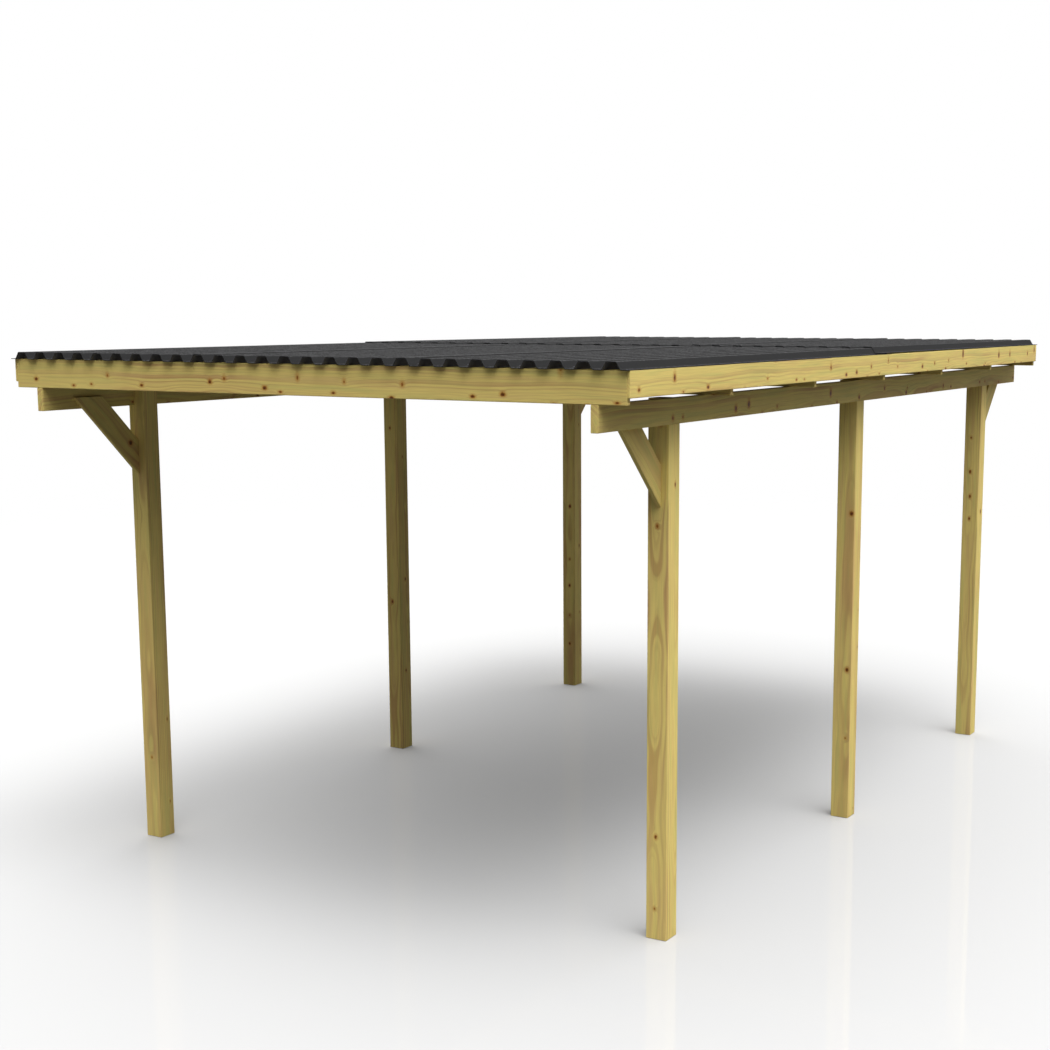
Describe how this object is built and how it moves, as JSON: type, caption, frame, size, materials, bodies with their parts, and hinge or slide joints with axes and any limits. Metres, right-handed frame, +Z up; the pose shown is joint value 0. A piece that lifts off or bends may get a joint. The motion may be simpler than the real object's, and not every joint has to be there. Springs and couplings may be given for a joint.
{
  "type": "carport",
  "caption": "Free-standing single carport: square notched posts, beams, corner braces and rafters in treated softwood under a flat roof of lapped ribbed sheets.",
  "frame": {"origin": "centre of the footprint at floor level", "axes": "+X to the right seen from the front, +Y from the front to the rear, +Z up"},
  "size_m": [3.044, 5.04, 2.2993],
  "materials": {
    "treated_softwood": "planed pressure-treated pine, matte",
    "roof_sheet": "dark grey bitumen-fibre sheet, matt and granular"
  },
  "bodies": {
    "root": {"front_left_post": "treated_softwood", "front_right_post": "treated_softwood", "middle_left_post": "treated_softwood", "middle_right_post": "treated_softwood", "rear_left_post": "treated_softwood", "rear_right_post": "treated_softwood", "left_beam": "treated_softwood", "right_beam": "treated_softwood", "front_left_brace": "treated_softwood", "front_right_brace": "treated_softwood", "rear_left_brace": "treated_softwood", "rear_right_brace": "treated_softwood", "front_rafter": "treated_softwood", "rafter_2": "treated_softwood", "rafter_3": "treated_softwood", "rafter_4": "treated_softwood", "rafter_5": "treated_softwood", "rafter_6": "treated_softwood", "rear_rafter": "treated_softwood", "left_side_board": "treated_softwood", "right_side_board": "treated_softwood", "front_left_sheet": "roof_sheet", "front_middle_sheet": "roof_sheet", "front_right_sheet": "roof_sheet", "rear_left_sheet": "roof_sheet", "rear_middle_sheet": "roof_sheet", "rear_right_sheet": "roof_sheet"}
  },
  "joints": []
}
